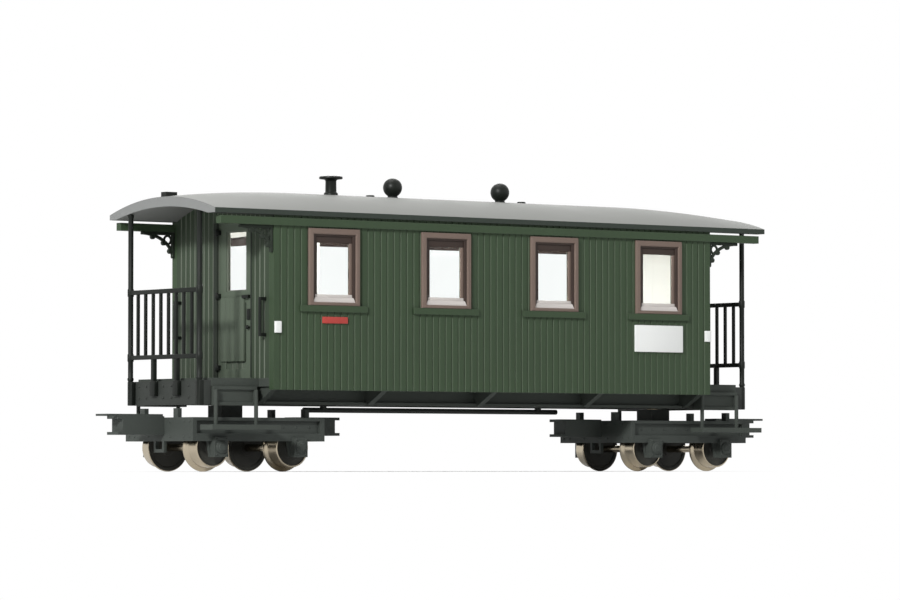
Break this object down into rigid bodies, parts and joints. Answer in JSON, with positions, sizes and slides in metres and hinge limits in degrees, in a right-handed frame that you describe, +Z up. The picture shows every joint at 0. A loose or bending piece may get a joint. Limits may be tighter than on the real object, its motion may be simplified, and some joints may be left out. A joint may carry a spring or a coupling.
{
  "type": "model railway coach",
  "caption": "Small-scale model of a narrow-gauge passenger coach: planked body, arched roof, open end platforms with railings and steps, and swivelling bogies with metal wheels.",
  "frame": {"origin": "on the floor plane under the middle of the coach, at the level of the lowest point of the wheel flanges", "axes": "+X along the coach towards its right-hand end as pictured, +Y across it away from the pictured side, +Z up"},
  "size_m": [0.1028, 0.023, 0.0366],
  "materials": {
    "roof_grey": "matt",
    "green_plank": "matt",
    "red_brown": "matt",
    "clear_pane": "gloss",
    "black_plastic": "matt",
    "fitting_grey": "matt",
    "bogie_grey": "matt",
    "nickel": "bright"
  },
  "bodies": {
    "coach": {"roof": "roof_grey", "side_wall_near": "green_plank", "side_wall_far": "green_plank", "end_wall_left": "green_plank", "end_wall_right": "green_plank", "end_door_left": "green_plank", "end_door_right": "green_plank", "window_frames_near": "red_brown", "window_frames_far": "red_brown", "window_panes_near": "clear_pane", "window_panes_far": "clear_pane", "door_panes": "clear_pane", "sill_boards": "green_plank", "cantrail_boards": "green_plank", "scroll_brackets": "green_plank", "floor": "black_plastic", "seats": "black_plastic", "underframe": "black_plastic", "under_floor_pipe": "black_plastic", "end_beams": "black_plastic", "railing_left": "black_plastic", "railing_right": "black_plastic", "steps": "black_plastic", "handles": "black_plastic", "chimney": "fitting_grey", "roof_vents": "fitting_grey", "lamp_bracket": "fitting_grey", "pivot_pins": "nickel"},
    "bogie_left": {"bogie_left_side_frames": "bogie_grey", "bogie_left_headstocks": "bogie_grey", "bogie_left_bolster": "bogie_grey", "bogie_left_couplers": "bogie_grey", "bogie_left_link": "bogie_grey"},
    "bogie_right": {"bogie_right_side_frames": "bogie_grey", "bogie_right_headstocks": "bogie_grey", "bogie_right_bolster": "bogie_grey", "bogie_right_couplers": "bogie_grey", "bogie_right_link": "bogie_grey"},
    "wheelset_left_outer": {"axle_left_outer": "nickel", "wheels_left_outer": "nickel"},
    "wheelset_left_inner": {"axle_left_inner": "nickel", "wheels_left_inner": "nickel"},
    "wheelset_right_outer": {"axle_right_outer": "nickel", "wheels_right_outer": "nickel"},
    "wheelset_right_inner": {"axle_right_inner": "nickel", "wheels_right_inner": "nickel"}
  },
  "joints": [
    {"name": "bogie_left_swivel", "type": "hinge", "parent": "coach", "child": "bogie_left", "pos_m": [-0.0336, 0, 0.0075], "axis": [0, 0, 1], "range_deg": [-4, 4]},
    {"name": "bogie_right_swivel", "type": "hinge", "parent": "coach", "child": "bogie_right", "pos_m": [0.0336, 0, 0.0075], "axis": [0, 0, 1], "range_deg": [-4, 4]},
    {"name": "wheelset_left_outer_spin", "type": "hinge", "parent": "bogie_left", "child": "wheelset_left_outer", "pos_m": [-0.0394, 0, 0.0029], "axis": [0, 1, 0], "continuous": true},
    {"name": "wheelset_left_inner_spin", "type": "hinge", "parent": "bogie_left", "child": "wheelset_left_inner", "pos_m": [-0.0278, 0, 0.0029], "axis": [0, 1, 0], "continuous": true},
    {"name": "wheelset_right_outer_spin", "type": "hinge", "parent": "bogie_right", "child": "wheelset_right_outer", "pos_m": [0.0394, 0, 0.0029], "axis": [0, 1, 0], "continuous": true},
    {"name": "wheelset_right_inner_spin", "type": "hinge", "parent": "bogie_right", "child": "wheelset_right_inner", "pos_m": [0.0278, 0, 0.0029], "axis": [0, 1, 0], "continuous": true}
  ]
}
